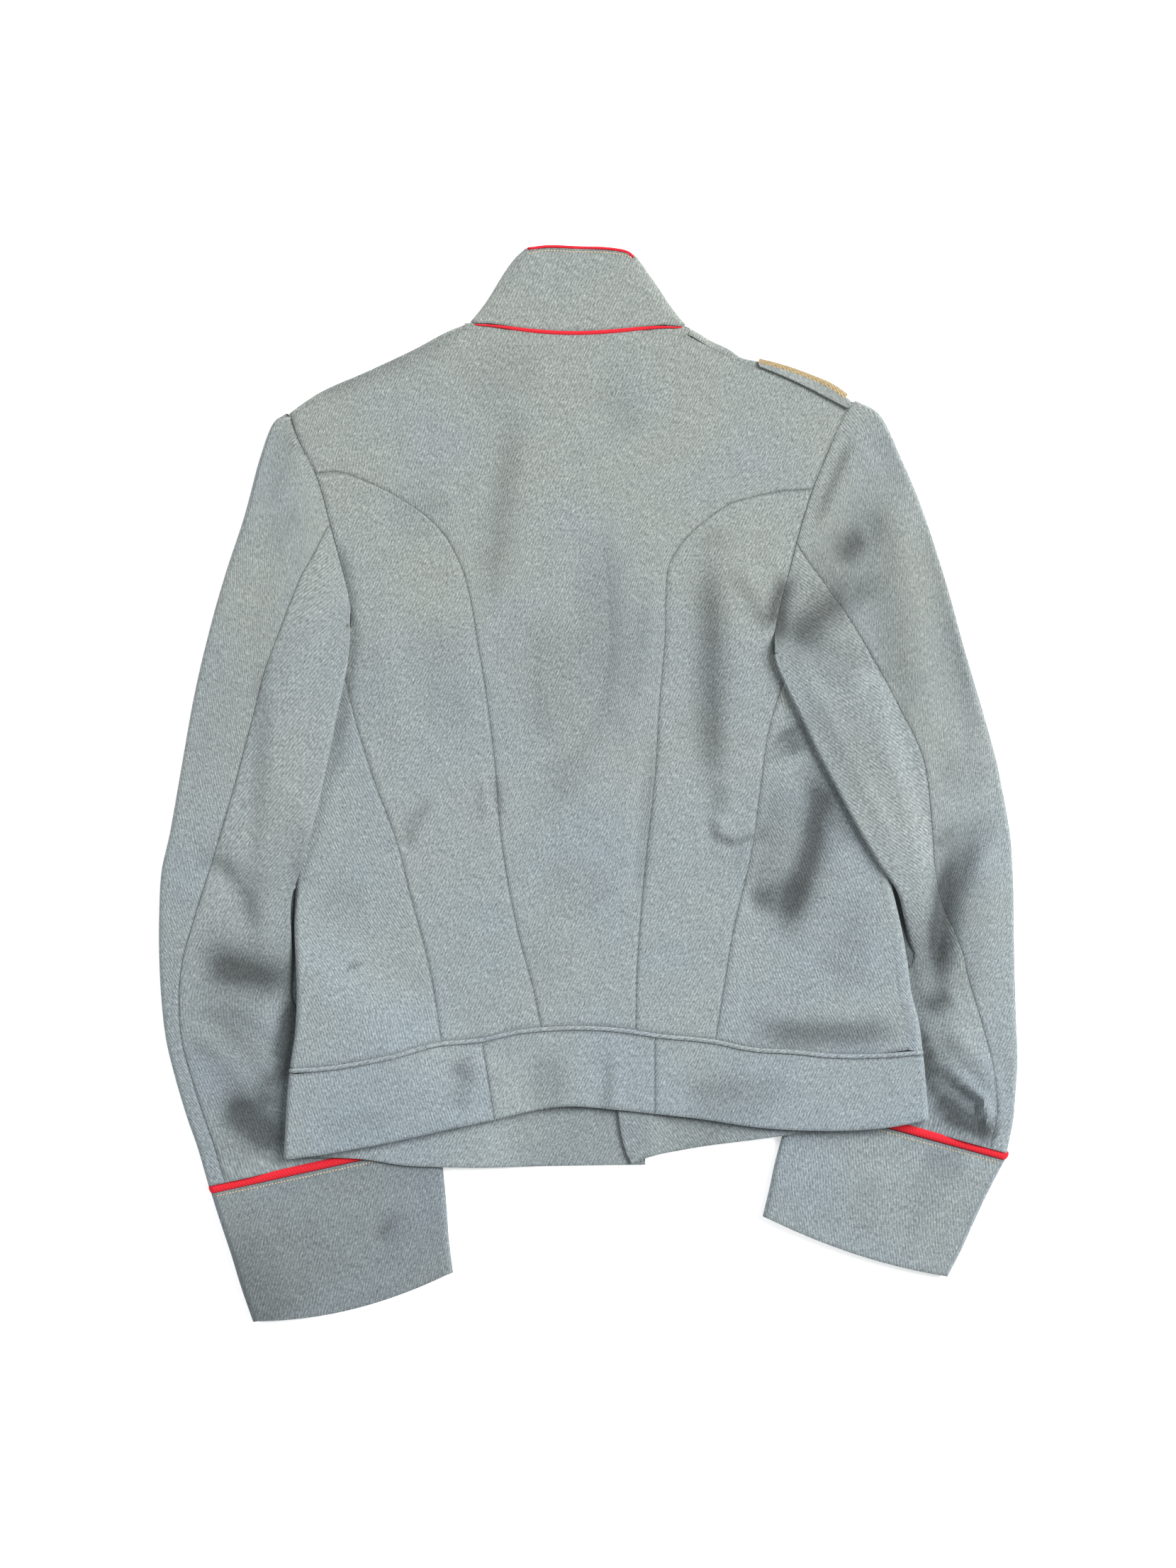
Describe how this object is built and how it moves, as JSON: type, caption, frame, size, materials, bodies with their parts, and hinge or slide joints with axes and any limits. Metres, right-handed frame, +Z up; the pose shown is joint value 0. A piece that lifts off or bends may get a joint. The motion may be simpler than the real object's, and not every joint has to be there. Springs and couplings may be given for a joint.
{
  "type": "military uniform jacket",
  "caption": "Waist-length military uniform jacket laid flat with its back up, with a piped stand collar, deep cuffs and a waistband.",
  "frame": {"origin": "middle of the outline of the laid-out jacket, on the surface it rests on", "axes": "+X to the right over the back, +Y from the hem to the collar, +Z up out of the back"},
  "size_m": [0.6114, 0.7677, 0.0159],
  "materials": {
    "wool_twill": "matt wool twill in a mottled grey-blue",
    "red_piping": "red cord piping",
    "gold_braid": "dull gold woven braid"
  },
  "bodies": {
    "root": {"back_center": "wool_twill", "back_side_left": "wool_twill", "back_side_right": "wool_twill", "side_left": "wool_twill", "side_right": "wool_twill", "front_left": "wool_twill", "front_right": "wool_twill", "collar": "wool_twill", "collar_base_piping": "red_piping", "collar_top_piping": "red_piping", "waistband_back": "wool_twill", "waistband_left": "wool_twill", "waistband_right": "wool_twill", "waistband_piping": "wool_twill", "top_sleeve_left": "wool_twill", "top_sleeve_right": "wool_twill", "under_sleeve_left": "wool_twill", "under_sleeve_right": "wool_twill", "cuff_left": "wool_twill", "cuff_right": "wool_twill", "cuff_piping_left": "red_piping", "cuff_piping_right": "red_piping", "shoulder_strap_right": "gold_braid"}
  },
  "joints": []
}
